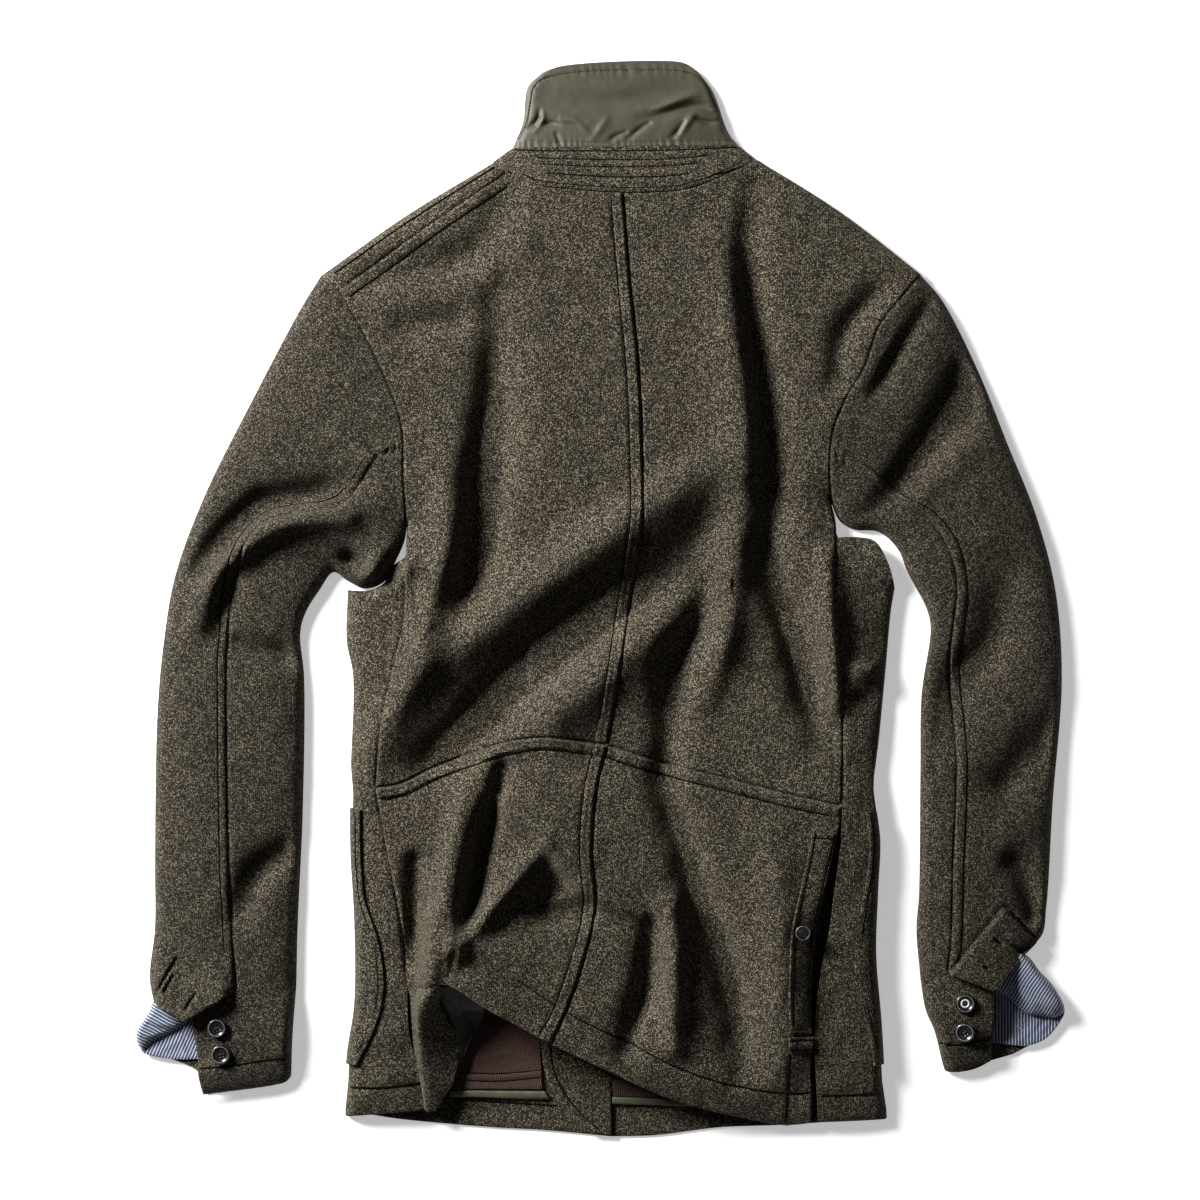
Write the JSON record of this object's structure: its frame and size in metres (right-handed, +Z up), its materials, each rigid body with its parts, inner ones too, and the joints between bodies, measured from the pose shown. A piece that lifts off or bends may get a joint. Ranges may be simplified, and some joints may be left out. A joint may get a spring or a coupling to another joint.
{
  "type": "knit blazer laid flat, back up",
  "caption": "Men's felted-knit blazer lying face down, with a nylon collar, turned-back cuffs showing a striped lining, and a hem lifted at one side.",
  "frame": {"origin": "middle of the bounding box, on the surface that the jacket lies on", "axes": "+Z up off the surface, out of the jacket's back; +Y from the hem to the collar; +X to the wearer's right sleeve"},
  "size_m": [0.7199, 0.8356, 0.0473],
  "materials": {
    "wool_knit": "felted heather knit, olive brown",
    "olive_nylon": "plain woven nylon, slight sheen",
    "stripe_lining": "fine navy and white stripe",
    "body_lining": "red-brown fine knit",
    "binding": "light olive ribbon",
    "horn": "dark horn with light rims",
    "snap_metal": "dark, satin"
  },
  "bodies": {
    "root": {"back_upper_left": "wool_knit", "back_upper_right": "wool_knit", "back_lower_left": "wool_knit", "back_lower_right": "wool_knit", "side_left": "wool_knit", "side_right": "wool_knit", "sleeve_upper_left": "wool_knit", "sleeve_under_left": "wool_knit", "sleeve_upper_right": "wool_knit", "sleeve_under_right": "wool_knit", "cuff_left": "wool_knit", "cuff_right": "wool_knit", "cuff_turn_left": "wool_knit", "cuff_turn_right": "wool_knit", "front_shoulder_left": "wool_knit", "collar_stand": "wool_knit", "front_left": "wool_knit", "front_right": "wool_knit", "front_facing": "wool_knit", "pocket_left": "wool_knit", "pocket_right": "wool_knit", "vent_placket": "wool_knit", "vent_tab": "wool_knit", "vent_underlap": "wool_knit", "back_hem_roll": "wool_knit", "collar": "olive_nylon", "hem_facing": "olive_nylon", "cuff_lining_left": "stripe_lining", "cuff_lining_right": "stripe_lining", "lining_left": "body_lining", "lining_right": "body_lining", "hem_binding_left": "binding", "hem_binding_right": "binding", "cuff_button_left_1": "horn", "cuff_button_left_2": "horn", "cuff_button_right_1": "horn", "cuff_button_right_2": "horn", "snap_cap": "snap_metal", "snap_socket": "snap_metal"}
  },
  "joints": []
}
